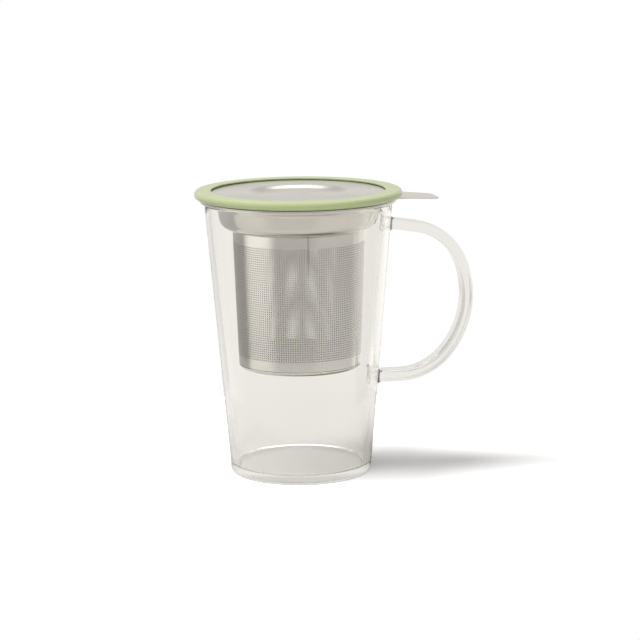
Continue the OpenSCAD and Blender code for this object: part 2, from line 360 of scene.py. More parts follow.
class Recipe:
    """A material's node tree while it is being wired up."""

    def __init__(self, name: str) -> None:
        """An empty material with its output node ready.

        Args:
            name: The material's name.
        """
        self.material = bpy.data.materials.new(name)
        self.material.use_nodes = True
        self.tree = self.material.node_tree
        self.tree.nodes.clear()
        self.output = self.tree.nodes.new("ShaderNodeOutputMaterial")

    @classmethod
    def of_world(cls, world: bpy.types.World) -> "Recipe":
        """An empty recipe for a world's nodes.

        Args:
            world: The world to be wired up.

        Returns:
            The recipe, with the world's output node ready.
        """
        recipe = cls.__new__(cls)
        recipe.tree = world.node_tree
        recipe.tree.nodes.clear()
        recipe.output = recipe.tree.nodes.new("ShaderNodeOutputWorld")
        return recipe

    def node(self, kind: str, **inputs: object) -> bpy.types.Node:
        """A new shader node.

        Args:
            kind: The node's type, without its ShaderNode prefix.
            **inputs: A number, colour or socket for each input, with _ for each space in its name.

        Returns:
            The node.
        """
        made = self.tree.nodes.new("ShaderNode" + kind)
        for name, value in inputs.items():
            self.feed(made.inputs[name.replace("_", " ")], value)
        return made

    def feed(self, socket: bpy.types.NodeSocket, value: object) -> None:
        """Gives an input its value.

        Args:
            socket: The input.
            value: A socket to link to it, or a number or colour to set there.
        """
        if isinstance(value, bpy.types.NodeSocket):
            self.tree.links.new(value, socket)
        else:
            socket.default_value = value

    def math(self, operation: str, *values: object) -> bpy.types.NodeSocket:
        """Result of a Math node.

        Args:
            operation: The node's operation.
            *values: The one to three numbers or sockets that it works on.

        Returns:
            The socket with the result.
        """
        made = self.tree.nodes.new("ShaderNodeMath")
        made.operation = operation
        for socket, value in zip(made.inputs, values):
            self.feed(socket, value)
        return made.outputs[0]

    def vector_math(self, operation: str, *values: object) -> bpy.types.Node:
        """A new Vector Math node.

        Args:
            operation: The node's operation.
            *values: The one to three vectors or sockets that it works on.

        Returns:
            The node, which gives a Vector or a Value.
        """
        made = self.tree.nodes.new("ShaderNodeVectorMath")
        made.operation = operation
        for socket, value in zip(made.inputs, values):
            self.feed(socket, value)
        return made

    def spread(self, value: object, low: object, high: object) -> bpy.types.NodeSocket:
        """Number from 0 to 1 mapped onto low to high."""
        made = self.node("MapRange", Value=value, To_Min=low, To_Max=high)
        return made.outputs[0]

    def share(self, value: object, fade: Fade, eased: bool = False) -> bpy.types.NodeSocket:
        """Share from 0 to 1 that value has reached of a fade.

        Args:
            value: The number that the share follows.
            fade: Its range.
            eased: Whether the share starts and ends gently.

        Returns:
            The socket with the share.
        """
        made = self.node("MapRange", Value=value, From_Min=fade.start, From_Max=fade.end)
        if eased:
            made.interpolation_type = "SMOOTHSTEP"
        return made.outputs[0]

    def blend(self, share: object, first: object, second: object) -> bpy.types.NodeSocket:
        """Colour that lies a share of the way from one colour to another.

        Args:
            share: The share, from 0 to 1.
            first: The colour at 0, as three numbers or a socket.
            second: The colour at 1, in the same form.

        Returns:
            The socket with the colour.
        """
        made = self.tree.nodes.new("ShaderNodeMix")
        made.data_type = "RGBA"
        self.feed(made.inputs["Factor"], share)
        colours = [socket for socket in made.inputs if socket.type == "RGBA"]
        for socket, colour in zip(colours, (first, second)):
            self.feed(socket, (*colour, 1) if isinstance(colour, tuple) else colour)
        return next(socket for socket in made.outputs if socket.type == "RGBA")

    def place(self) -> bpy.types.NodeSocket:
        """The point on the piece, in metres."""
        return self.tree.nodes.new("ShaderNodeTexCoord").outputs["Object"]

    def noise(self, vector: object, scale: float, detail: float = 2.0) -> bpy.types.NodeSocket:
        """Cloudy pattern from 0 to 1, in which scale is the number of clouds in a metre."""
        made = self.node("TexNoise", Vector=vector, Scale=scale, Detail=detail)
        return made.outputs[0]

    def finish(self, shader: bpy.types.Node) -> bpy.types.Material:
        """Joins the last shader to the output and gives the material."""
        self.tree.links.new(shader.outputs[0], self.output.inputs["Surface"])
        return self.material


def ring_place(recipe: Recipe, wander: float) -> bpy.types.NodeSocket:
    """Pattern place on turned pieces: [distance from the axis, height, a little of the angle].

    Args:
        recipe: The material being wired up.
        wander: Change of the third value over a quarter turn, in metres.

    Returns:
        The vector to feed a texture with, on which a pattern makes rings about Z.
    """
    place = recipe.place()
    parts = recipe.node("SeparateXYZ", Vector=place)
    flat = recipe.node("CombineXYZ", X=parts.outputs["X"], Y=parts.outputs["Y"])
    distance = recipe.vector_math("LENGTH", flat.outputs[0]).outputs["Value"]
    side = recipe.math("DIVIDE", parts.outputs["Y"], distance)
    third = recipe.math("MULTIPLY", side, wander)
    return recipe.node("CombineXYZ", X=distance, Y=parts.outputs["Z"], Z=third).outputs[0]


def brushed_metal(
    recipe: Recipe, colour: object, gloss: object, brushed: float, bump: bpy.types.Node
) -> bpy.types.Node:
    """Metal shader whose gloss is stretched by brushing that runs round Z.

    Args:
        recipe: The material being wired up.
        colour: Its colour, or the socket that gives it.
        gloss: The socket with its roughness.
        brushed: How far the gloss is stretched, from 0 to 1.
        bump: The node that tips its surface.

    Returns:
        The shader node.
    """
    tangent = recipe.node("Tangent")
    tangent.direction_type = "RADIAL"
    tangent.axis = "Z"
    return recipe.node(
        "BsdfPrincipled",
        Base_Color=colour,
        Metallic=1.0,
        Roughness=gloss,
        Anisotropic=brushed,
        Anisotropic_Rotation=GLOSS_TURN,
        Tangent=tangent.outputs[0],
        Normal=bump.outputs[0],
    )


@dataclass(frozen=True)
class ClearGlass:
    """Fire-polished borosilicate glass with a faint warm tint."""

    name: str = "clear_glass"
    tint: tuple[float, float, float] = (0.985, 0.985, 0.965)
    shade: tuple[float, float, float] = (0.95, 0.95, 0.94)
    ior: float = 1.47
    ripple_scale: float = 45.0
    ripple_depth: float = 0.004 * MM
    grit_scale: float = 900.0
    grit_depth: float = 0.035 * MM
    grit_fade: Fade = Fade(0.5 * MM, 0.0)
    bump_strength: float = 0.6

    def material(self) -> bpy.types.Material:
        """Glass that bends light, and lets the lamps through with a slight shade.

        The skin has a broad ripple of the flame, and the foot's underside a moulded grit.

        Returns:
            The material.
        """
        recipe = Recipe(self.name)
        place = recipe.place()
        ripple = recipe.math("MULTIPLY", recipe.noise(place, self.ripple_scale), self.ripple_depth)
        level = recipe.node("SeparateXYZ", Vector=place).outputs["Z"]
        under = recipe.math("MULTIPLY", recipe.share(level, self.grit_fade), self.grit_depth)
        grit = recipe.noise(place, self.grit_scale, detail=3.0)
        height = recipe.math("MULTIPLY_ADD", grit, under, ripple)
        bump = recipe.node("Bump", Strength=self.bump_strength, Distance=1.0, Height=height)
        glass = recipe.node(
            "BsdfPrincipled",
            Base_Color=(*self.tint, 1),
            Roughness=0.0,
            IOR=self.ior,
            Transmission_Weight=1.0,
            Normal=bump.outputs[0],
        )
        clear = recipe.node("BsdfTransparent", Color=(*self.shade, 1))
        path = recipe.node("LightPath")
        mix = recipe.node("MixShader", Fac=path.outputs["Is Shadow Ray"])
        recipe.tree.links.new(glass.outputs[0], mix.inputs[1])
        recipe.tree.links.new(clear.outputs[0], mix.inputs[2])
        return recipe.finish(mix)


@dataclass(frozen=True)
class RolledSteel:
    """Stainless sheet with a satin mill finish, drawn or rolled about the mug's axis.

    On the sleeve, weld_tint is the colour of the heated line along the weld, which stands
    at weld_x on the -Y side and fades out downwards, and the side that faces the axis is
    painted darker as shade inside the basket. grain_wander bends the grain a little off its rings.
    """

    name: str = "satin_steel"
    weld_tint: tuple[float, float, float] | None = None
    # Painted shade: a darker colour for the side that faces the axis, standing in for the shade
    # inside the basket
    inner_shade_colour: tuple[float, float, float] = (0.50, 0.485, 0.465)
    inner_facing: float = -0.5
    weld_x: float = -1.35 * MM
    weld_line: Fade = Fade(0.5 * MM, 0.2 * MM)
    weld_fade: Fade = Fade(84 * MM, 98 * MM)
    colour: tuple[float, float, float] = (0.665, 0.645, 0.62)
    grain_scale: float = 9000.0
    grain_wander: float = 0.4 * MM
    cloud_scale: float = 70.0
    smoothest: float = 0.09
    roughest: float = 0.16
    grain_share: float = 0.4
    grain_depth: float = 0.004 * MM
    bump_strength: float = 0.5
    brushed: float = 0.35

    def material(self) -> bpy.types.Material:
        """Metal whose fine grain runs round the axis, with cloudy changes of gloss.

        Returns:
            The material.
        """
        recipe = Recipe(self.name)
        grain = recipe.noise(ring_place(recipe, self.grain_wander), self.grain_scale)
        cloud = recipe.noise(recipe.place(), self.cloud_scale, detail=4.0)
        share = recipe.math("MULTIPLY", cloud, 1 - self.grain_share)
        both = recipe.math("MULTIPLY_ADD", grain, self.grain_share, share)
        bump = recipe.node(
            "Bump", Strength=self.bump_strength, Distance=self.grain_depth, Height=grain
        )
        colour = self.welded(recipe) if self.weld_tint else (*self.colour, 1)
        gloss = recipe.spread(both, self.smoothest, self.roughest)
        return recipe.finish(brushed_metal(recipe, colour, gloss, self.brushed, bump))

    def welded(self, recipe: Recipe) -> bpy.types.NodeSocket:
        """The steel's colour, with the tinted line along the weld and painted shade on the inner
        side.

        Args:
            recipe: The material being wired up.

        Returns:
            The socket with the colour.
        """
        place = recipe.node("SeparateXYZ", Vector=recipe.place())
        off = recipe.math("SUBTRACT", place.outputs["X"], self.weld_x)
        line = recipe.share(recipe.math("ABSOLUTE", off), self.weld_line)
        front = recipe.math("LESS_THAN", place.outputs["Y"], 0.0)
        share = recipe.math("MULTIPLY", line, front)
        share = recipe.math("MULTIPLY", share, recipe.share(place.outputs["Z"], self.weld_fade))
        outer = recipe.blend(share, self.colour, self.weld_tint)
        # Painted shade: faces that look towards the axis take the darker inner colour
        facing = recipe.tree.nodes.new("ShaderNodeNewGeometry").outputs["True Normal"]
        away = recipe.vector_math("MULTIPLY", recipe.place(), (1, 1, 0)).outputs["Vector"]
        away = recipe.vector_math("NORMALIZE", away).outputs["Vector"]
        outward = recipe.vector_math("DOT_PRODUCT", facing, away).outputs["Value"]
        inner = recipe.math("LESS_THAN", outward, self.inner_facing)
        return recipe.blend(inner, outer, self.inner_shade_colour)


@dataclass(frozen=True)
class TurnedSteel:
    """Stainless plate brushed in fine rings about its centre."""

    name: str = "turned_steel"
    colour: tuple[float, float, float] = (0.73, 0.715, 0.675)
    fine_scale: float = 5200.0
    fine_wander: float = 1.5 * MM
    fine_share: float = 0.6
    broad_scale: float = 5200.0 / 12
    broad_wander: float = 4 * MM
    smoothest: float = 0.20
    roughest: float = 0.30
    ring_depth: float = 0.012 * MM
    bump_strength: float = 0.5
    brushed: float = 0.75

    def material(self) -> bpy.types.Material:
        """Metal with ring-shaped scratches that change its gloss and tip its surface.

        Returns:
            The material.
        """
        recipe = Recipe(self.name)
        fine = recipe.noise(ring_place(recipe, self.fine_wander), self.fine_scale, detail=5.0)
        broad = recipe.noise(ring_place(recipe, self.broad_wander), self.broad_scale, detail=3.0)
        share = recipe.math("MULTIPLY", broad, 1 - self.fine_share)
        both = recipe.math("MULTIPLY_ADD", fine, self.fine_share, share)
        bump = recipe.node(
            "Bump", Strength=self.bump_strength, Distance=self.ring_depth, Height=both
        )
        gloss = recipe.spread(both, self.smoothest, self.roughest)
        colour = (*self.colour, 1)
        return recipe.finish(brushed_metal(recipe, colour, gloss, self.brushed, bump))


@dataclass(frozen=True)
class PaleSilicone:
    """Moulded silicone rubber, pale green with a soft satin skin."""

    name: str = "pale_silicone"
    colour: tuple[float, float, float] = (0.462, 0.54, 0.268)
    shift: tuple[float, float, float] = (0.492, 0.565, 0.298)
    gloss: float = 0.75
    cloud_scale: float = 60.0
    skin_scale: float = 5500.0
    skin_depth: float = 0.01 * MM
    bump_strength: float = 0.4
    smoothest: float = 0.28
    roughest: float = 0.40
    glow_through: float = 0.15
    glow_reach: tuple[float, float, float] = (1.0, 1.0, 0.6)
    glow_depth: float = 0.8 * MM
    bloom: float = 0.38
    bloom_roughness: float = 0.4

    def material(self) -> bpy.types.Material:
        """Rubber with faint clouds of colour and a fine mould texture.

        Returns:
            The material.
        """
        recipe = Recipe(self.name)
        cloud = recipe.noise(recipe.place(), self.cloud_scale, detail=3.0)
        skin = recipe.noise(recipe.place(), self.skin_scale, detail=3.0)
        bump = recipe.node(
            "Bump", Strength=self.bump_strength, Distance=self.skin_depth, Height=skin
        )
        rubber = recipe.node(
            "BsdfPrincipled",
            Base_Color=recipe.blend(cloud, self.colour, self.shift),
            Roughness=recipe.spread(skin, self.smoothest, self.roughest),
            Specular_IOR_Level=self.gloss,
            Subsurface_Weight=self.glow_through,
            Subsurface_Radius=self.glow_reach,
            Subsurface_Scale=self.glow_depth,
            Sheen_Weight=self.bloom,
            Sheen_Roughness=self.bloom_roughness,
            Normal=bump.outputs[0],
        )
        return recipe.finish(rubber)


# ------------------------------------------------------------- sub-assemblies


@dataclass(frozen=True)
class Extent:
    """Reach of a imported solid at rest: along +X and +Y, and its lowest and highest level."""

    x: float
    y: float
    low: float
    high: float

    @classmethod
    def of(cls, node: str) -> "Extent":
        """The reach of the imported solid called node."""
        low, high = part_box(node)
        return cls(high.x, high.y, low.z, high.z)


def fitted(
    mesh: bpy.types.Mesh,
    body: Body,
    finish: bpy.types.Material,
    stands_for: tuple[str, ...],
) -> bpy.types.Object:
    """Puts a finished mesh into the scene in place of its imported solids.

    Args:
        mesh: The mesh, already in its place; its name becomes the piece's name.
        body: The body that it moves with.
        finish: Its material.
        stands_for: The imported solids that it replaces.

    Returns:
        The piece.
    """
    piece = bpy.data.objects.new(mesh.name, mesh)
    bpy.context.scene.collection.objects.link(piece)
    mesh.materials.append(finish)
    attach(piece, body.value)
    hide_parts(*stands_for)
    LOG.info("%s: %d faces, for %s", piece.name, len(mesh.polygons), ", ".join(stands_for))
    return piece


@dataclass
class GlassMug:
    """The tapered glass cup and its strap handle, melted together."""

    wall_rim_t: float = 2.2 * MM
    wall_floor_t: float = 3.1 * MM
    floor_t: float = 3.8 * MM
    foot_r: float = 30.7 * MM
    foot_round: float = 1.4 * MM
    floor_round: float = 1.4 * MM
    rim_round_share: float = 0.45
    ring_spacing: float = 4.0 * MM
    sides: int = 480

    strap_t: float = 5.2 * MM
    strap_w: float = 10.4 * MM
    strap_squareness: float = 3.5
    handle_below_rim: float = 11.0 * MM
    arm_slope: float = math.radians(9)
    arm_len: float = 12.0 * MM
    upper_bend_r: float = 26.5 * MM
    upper_bend_angle: float = math.radians(58)
    grip_r: float = 39.0 * MM
    grip_angle: float = math.radians(65)
    lower_bend_r: float = 27.0 * MM
    joint_flare: float = 1.7 * MM
    joint_len: float = 2.8 * MM
    joint_root: float = 1.2 * MM
    joint_rings: int = 9
    joint_first: float = 0.12
    settle_share: float = 0.8
    line_step: float = 0.05 * MM
    strap_sides: int = 72
    strap_step: float = 0.9 * MM

    extent: Extent = field(default_factory=lambda: Extent.of("mug_body"))

    def wall_r(self, z: np.ndarray | float) -> np.ndarray | float:
        """Outer radius of the wall at height z, on a straight taper from foot to rim."""
        return self.foot_r + (self.extent.x - self.foot_r) * z / self.extent.high

    def cup(self) -> Skin:
        """Cup, turned from the outline of its foot, tapered wall, rim, inner wall and floor.

        Returns:
            The closed skin.
        """
        rim_r, height = self.extent.x, self.extent.high
        rim_round = self.rim_round_share * self.wall_rim_t
        corners = np.array([
            [0, 0, 0],
            [self.foot_r, 0, self.foot_round],
            [rim_r, height, rim_round],
            [rim_r - self.wall_rim_t, height, rim_round],
            [self.wall_r(self.floor_t) - self.wall_floor_t, self.floor_t, self.floor_round],
            [0, self.floor_t, 0],
        ])
        return turned(filled_in(rounded(corners), self.ring_spacing), self.sides)

    def strap_line(self) -> tuple[np.ndarray, np.ndarray, float]:
        """Middle line of the strap, from inside the wall round to inside the wall again.

        The heading is constant on both arms and changes evenly along each of the three bends,
        and the line is the running sum of short steps along the heading.

        Returns:
            Distances along the line from the upper joint, the rows [x, z, heading] there, and
            the distance of the lower joint.
        """
        lower_angle = math.pi - self.arm_slope - self.upper_bend_angle - self.grip_angle
        turns = np.array([0, self.upper_bend_angle, self.grip_angle, lower_angle, 0])
        bends = turns[1:4] * np.array([self.upper_bend_r, self.grip_r, self.lower_bend_r])
        start_z = self.extent.high - self.handle_below_rim
        start = np.array([self.wall_r(start_z), start_z])
        knots = np.cumsum([0, self.arm_len, *bends, self.extent.x])
        headings = -self.arm_slope - np.cumsum([0, *turns])
        fine = np.arange(-self.joint_root, knots[-1], self.line_step)
        middle = np.interp((fine[1:] + fine[:-1]) / 2, knots, headings)
        steps = np.diff(fine)[:, None] * np.stack([np.cos(middle), np.sin(middle)], axis=1)
        line = np.concatenate([[[0, 0]], np.cumsum(steps, axis=0)])
        line += start - np.array([np.interp(0, fine, line[:, 0]), np.interp(0, fine, line[:, 1])])
        inside = line[:, 0] < self.wall_r(line[:, 1])
        end = fine[np.argmax(inside & (fine > knots[3]))]
        return fine, np.column_stack([line, np.interp(fine, knots, headings)]), end

    def strap(self) -> Skin:
        """Skin of the strap, whose ends flare where they melt into the wall.

        Its section is a rounded rectangle: half the thickness and half the width, each times
        a power of the cosine and sine. Near the wall the section grows by a quarter ellipse,
        and its points are moved along the strap so that each ring follows the wall. The rings
        stand close at the wall, from joint_first on, and the moves die out over settle_share
        of the arm.

        Returns:
            The skin, closed at both ends inside the glass wall.
        """
        fine, line, end = self.strap_line()
        sweep = np.linspace(self.joint_first, math.pi / 2, self.joint_rings)
        near = self.joint_len * (1 - np.cos(sweep))
        clear = self.arm_len * self.settle_share
        middle = np.arange(self.joint_len, end - self.joint_len, self.strap_step)[1:-1]
        start, stop = [-self.joint_root], [end + self.joint_root]
        stations = np.concatenate([start, near, middle, end - near[::-1], stop])
        x, z, heading = (np.interp(stations, fine, line[:, k]) for k in range(3))
        depth = np.minimum(stations, end - stations)
        bare = 1 - np.clip(depth, 0, self.joint_len) / self.joint_len
        growth = self.joint_flare * (1 - np.sqrt(1 - bare**2))

        turn = 2 * math.pi * (np.arange(self.strap_sides) + 0.5) / self.strap_sides
        power = 2 / self.strap_squareness
        out = np.sign(np.cos(turn)) * np.abs(np.cos(turn)) ** power
        side = np.sign(np.sin(turn)) * np.abs(np.sin(turn)) ** power
        out = out[None] * (self.strap_t / 2 + growth)[:, None]
        side = side[None] * (self.strap_w / 2 + growth)[:, None]
        across = np.stack([-np.sin(heading), np.cos(heading)], axis=1)
        ring_x = x[:, None] + out * across[:, :1]
        ring_z = z[:, None] + out * across[:, 1:]

        upper = stations < end / 2
        home = np.where(upper, 0.0, end)
        home_x, home_z, home_heading = (np.interp(home, fine, line[:, k]) for k in range(3))
        direction = np.where(upper, 1.0, -1.0)
        ahead_x = (np.cos(home_heading) * direction)[:, None]
        ahead_z = (np.sin(home_heading) * direction)[:, None]
        home_across = np.stack([-np.sin(home_heading), np.cos(home_heading)], axis=1)
        foot_x = home_x[:, None] + out * home_across[:, :1]
        foot_z = home_z[:, None] + out * home_across[:, 1:]
        shift = self.to_wall(foot_x, side, foot_z, ahead_x, ahead_z)
        hold = np.clip((clear - depth) / (clear - self.joint_len), 0, 1)[:, None]
        hold = hold * hold * (3 - 2 * hold)
        ring_x = ring_x + shift * hold * ahead_x
        ring_z = ring_z + shift * hold * ahead_z
        points = np.stack([ring_x, side, ring_z], axis=-1).reshape(-1, 3)

        rings = len(stations)
        quads = grid_quads(rings, self.strap_sides, False, True)
        first = np.arange(self.strap_sides)[None, ::-1]
        last = np.arange(self.strap_sides)[None, :] + (rings - 1) * self.strap_sides
        return Skin(points, [quads, first, last])

    def to_wall(
        self, x: np.ndarray, y: np.ndarray, z: np.ndarray, ahead_x: np.ndarray, ahead_z: np.ndarray
    ) -> np.ndarray:
        """Distance from each point along its heading to the outside of the wall.

        The wall is the cone x² + y² = (radius at z)², and the line's distance to it is the
        smaller root of a quadratic.

        Args:
            x: The points' distance from the axis towards the handle.
            y: Their distance to the side.
            z: Their height.
            ahead_x: How far a step along each heading leads away from the axis.
            ahead_z: How far it leads upwards.

        Returns:
            The distances, negative where the wall lies behind the point.
        """
        slope = (self.extent.x - self.foot_r) / self.extent.high
        radius = self.wall_r(z)
        a = ahead_x**2 - (slope * ahead_z) ** 2
        b = 2 * (x * ahead_x - radius * slope * ahead_z)
        c = x**2 + y**2 - radius**2
        return (-b + np.sqrt(b**2 - 4 * a * c)) / (2 * a)

    def build(self) -> bpy.types.Mesh:
        """The cup and the strap as one closed skin, joined by an exact union.

        Returns:
            The mesh, which still has no material.
        """
        cup = bpy.data.objects.new("cup", written("cup", self.cup()))
        strap = bpy.data.objects.new("strap", written("strap", self.strap()))
        for part in (cup, strap):
            bpy.context.scene.collection.objects.link(part)
        union = cup.modifiers.new("melt", "BOOLEAN")
        union.operation = "UNION"
        union.solver = "EXACT"
        union.object = strap
        ready = cup.evaluated_get(bpy.context.evaluated_depsgraph_get())
        mesh = bpy.data.meshes.new_from_object(ready)
        mesh.name = "glass_mug"
        mesh.materials.clear()
        for part in (cup, strap):
            bpy.data.objects.remove(part)
        shade(mesh, CREASE)
        return mesh

    def dress(self) -> None:
        """Puts the glass into the scene."""
        fitted(self.build(), Body.MUG, ClearGlass().material(), ("mug_body", "handle"))


@dataclass
class Infuser:
    """The steel basket: collar, rim plate with its finger tab, perforated sleeve and base."""

    sheet_t: float = 0.5 * MM
    weld_gap: float = 0.05 * MM
    flange_bend: float = 3.8 * MM
    shoulder_bend: float = 5.2 * MM
    collar_gap: float = 2.0 * MM
    collar_lean: float = 3.4 * MM
    glass_t: float = 2.2 * MM
    neck_bend: float = 0.4 * MM
    sleeve_taper: float = 2.1 * MM

    tab_root_w: float = 22.0 * MM
    tab_end_w: float = 16.0 * MM
    tab_corner_r: float = 4.0 * MM
    tab_fillet_r: float = 3.0 * MM
    tab_bend_out: float = 4.0 * MM
    tab_bend_len: float = 3.0 * MM
    tab_droop: float = math.radians(4)
    tab_step: float = 0.7 * MM
    rim_plate_reach: float = 1.2 * MM
    plate_edge: float = 0.16 * MM
    plate_edge_rows: int = 7
    plate_rows: int = 22

    hole_w: float = 0.52 * MM
    hole_columns: int = 170
    hole_rows: int = 51
    top_band: float = 5.2 * MM
    bottom_band: float = 5.6 * MM
    seam_angle: float = math.radians(-92.7)
    seam_ridge: float = 0.14 * MM
    seam_reach: float = math.radians(20)
    weld_tint: tuple[float, float, float] = (0.50, 0.47, 0.43)

    step_h: float = 0.12 * MM
    base_round: float = 1.6 * MM
    base_floor_r: float = 24.6 * MM
    base_hole_pitch: float = 1.05 * MM

    rim: Extent = field(default_factory=lambda: Extent.of("mug_body"))
    collar: Extent = field(default_factory=lambda: Extent.of("basket_collar"))
    plate: Extent = field(default_factory=lambda: Extent.of("basket_rim"))
    sleeve: Extent = field(default_factory=lambda: Extent.of("basket_sleeve"))
    base: Extent = field(default_factory=lambda: Extent.of("basket_base"))

    @property
    def collar_r(self) -> float:
        """Outer radius of the collar's side, just under its flange."""
        return self.rim.x - self.glass_t - self.collar_gap

    def sleeve_r(self, z: np.ndarray | float) -> np.ndarray | float:
        """Outer radius of the sleeve at height z."""
        slope = self.sleeve_taper / (self.sleeve.high - self.sleeve.low)
        return self.sleeve.x - slope * (self.sleeve.high - z)

    def collar_skin(self) -> Skin:
        """Drawn bowl with a flange above and a turned-down neck below.

        Its side leans inwards from the flange to the shoulder. The section of the bent sheet
        is turned about Z.

        Returns:
            The closed skin.
        """
        collar_z = self.sleeve.high + self.neck_bend
        inside = self.sheet_t + self.weld_gap
        face = np.array([
            [self.sleeve_r(self.collar.low) - inside, self.collar.low, 0],
            [self.sleeve_r(collar_z) - inside, collar_z, self.neck_bend],
            [self.collar_r - self.collar_lean, collar_z, self.shoulder_bend],
            [self.collar_r, self.rim.high, self.flange_bend],
            [self.collar.x, self.rim.high, 0],
        ])
        return turned(filled_in(sheet_outline(face, self.sheet_t), STEEL_STEP, closed=True))

    def plate_outline(self) -> np.ndarray:
        """Outer outline of the rim plate, anticlockwise from the middle of the tab's end.

        The +Y half runs round the tab's end corner, along its side, round the fillet, whose
        centre lies a fillet's radius off both the side and the flange, and along the flange.
        The -Y half is its mirror image.

        Returns:
            Points [x, y] on the outline.
        """
        flange_r = self.collar.x
        root = self.tab_root_w / 2
        bend_x = flange_r + self.tab_bend_out
        centre_y = root + self.tab_fillet_r
        centre_x = math.sqrt((flange_r + self.tab_fillet_r) ** 2 - centre_y**2)
        tab = np.array([
            [self.plate.x, 0, 0],
            [self.plate.x, self.tab_end_w / 2, self.tab_corner_r],
            [bend_x, root, 0],
            [centre_x, root, 0],
        ])
        side = filled_in(rounded(tab, closed=False), self.tab_step)
        touch = math.atan2(centre_y, centre_x)
        angle = np.linspace(-math.pi / 2, touch - math.pi, CORNER_STEPS)[1:, None]
        centre = np.array([centre_x, centre_y])
        fillet = centre + self.tab_fillet_r * np.hstack([np.cos(angle), np.sin(angle)])
        angle = np.linspace(touch, math.pi, TURN_SIDES // 2)[1:, None]
        flange = flange_r * np.hstack([np.cos(angle), np.sin(angle)])
        half = np.concatenate([side, fillet, flange])
        return np.concatenate([half, half[-2:0:-1] * [1, -1]])

    def plate_skin(self) -> Skin:
        """Flat stamped ring with its tab, whose edges are slightly rounded.

        Rows of points run from the inner circle to the outer outline on the top face, round
        the edge, back on the lower face and round the inner edge. Beyond the bend the height
        falls with x by the tangent of the droop, and within the bend by a square law.

        Returns:
            The closed skin.
        """
        outer = self.plate_outline()
        along = unit(np.roll(outer, -1, axis=0) - np.roll(outer, 1, axis=0))
        outward = np.stack([along[:, 1], -along[:, 0]], axis=1)
        inner_r = self.collar_r + self.rim_plate_reach
        inward = -unit(outer)
        inner = -inward * inner_r

        edge, half_t = self.plate_edge, self.sheet_t / 2
        swing = np.linspace(math.pi / 2, -math.pi / 2, self.plate_edge_rows)
        inset = edge * (1 - np.cos(swing))
        level = np.where(swing >= 0, 1, -1) * (half_t - edge) + edge * np.sin(swing)
        share = np.linspace(0, 1, self.plate_rows)[1:-1]
        outer_face = outer - outward * edge
        inner_face = inner - inward * edge
        top = inner_face[:, None] + (outer_face - inner_face)[:, None] * share[:, None]
        rim_rows = outer[:, None] - outward[:, None] * inset[:, None]
        eye_rows = inner[:, None] - inward[:, None] * inset[::-1, None]
        flat = np.concatenate([top, rim_rows, top[:, ::-1], eye_rows], axis=1)
        height = np.concatenate([
            np.full(len(share), half_t), level, np.full(len(share), -half_t), level[::-1]
        ])
        past = flat[..., 0] - (self.collar.x + self.tab_bend_out)
        eased = np.clip(past + self.tab_bend_len / 2, 0, self.tab_bend_len) ** 2
        drop = np.where(past > self.tab_bend_len / 2, past, eased / (2 * self.tab_bend_len))
        middle = self.plate.high - half_t
        z = middle + height - math.tan(self.tab_droop) * np.where(flat[..., 0] > 0, drop, 0)
        points = np.concatenate([flat, z[..., None]], axis=-1)
        quads = grid_quads(points.shape[0], points.shape[1], True, True)
        return Skin(points.reshape(-1, 3), [quads])

    def sleeve_skin(self) -> Skin:
        """Rolled sleeve pierced by a grid of fine holes.

        Grid lines stand at both edges of every column and row of holes. The radius follows
        the taper, and beside the weld seam it rises by a square law, because the ends of a
        rolled sheet stay a little flatter than the rest. The lowest part is stepped in by the
        pan's thickness, so that the pan lies flush with the sleeve above it.

        Returns:
            The closed skin, about twenty triangles for each hole.
        """
        low = self.sleeve.low + self.bottom_band
        high = self.sleeve.high - self.top_band
        rows = np.linspace(low, high, self.hole_rows)[:, None]
        levels = (rows + np.array([-0.5, 0.5]) * self.hole_w).ravel()
        neck = self.base.high + np.array([self.weld_gap, self.weld_gap + self.step_h])
        levels = np.concatenate([[self.sleeve.low], neck, levels, [self.sleeve.high]])
        middle_r = self.sleeve_r((low + high) / 2)
        half_angle = self.hole_w / middle_r / 2
        pitch = 2 * math.pi / self.hole_columns
        columns = self.seam_angle + pitch * (np.arange(self.hole_columns)[:, None] + 0.5)
        angles = (columns + np.array([-1, 1]) * half_angle).ravel()
        hole_cell = np.zeros((len(angles), len(levels) - 1), bool)
        hole_cell[::2, 3::2] = True

        from_seam = np.abs((angles - self.seam_angle + math.pi) % (2 * math.pi) - math.pi)
        ridge = self.seam_ridge * np.clip(1 - from_seam / self.seam_reach, 0, 1) ** 2
        in_pan = np.where(levels < neck[1], self.sheet_t + self.weld_gap, 0)
        radius = (self.sleeve_r(levels) - in_pan)[None, :] + ridge[:, None]
        outer = round_points(radius, levels, angles)
        inner = round_points(radius - self.sheet_t, levels, angles)
        quads = sheet_quads(~hole_cell, hole_cell, True, len(outer))
        return Skin(np.concatenate([outer, inner]), [quads])

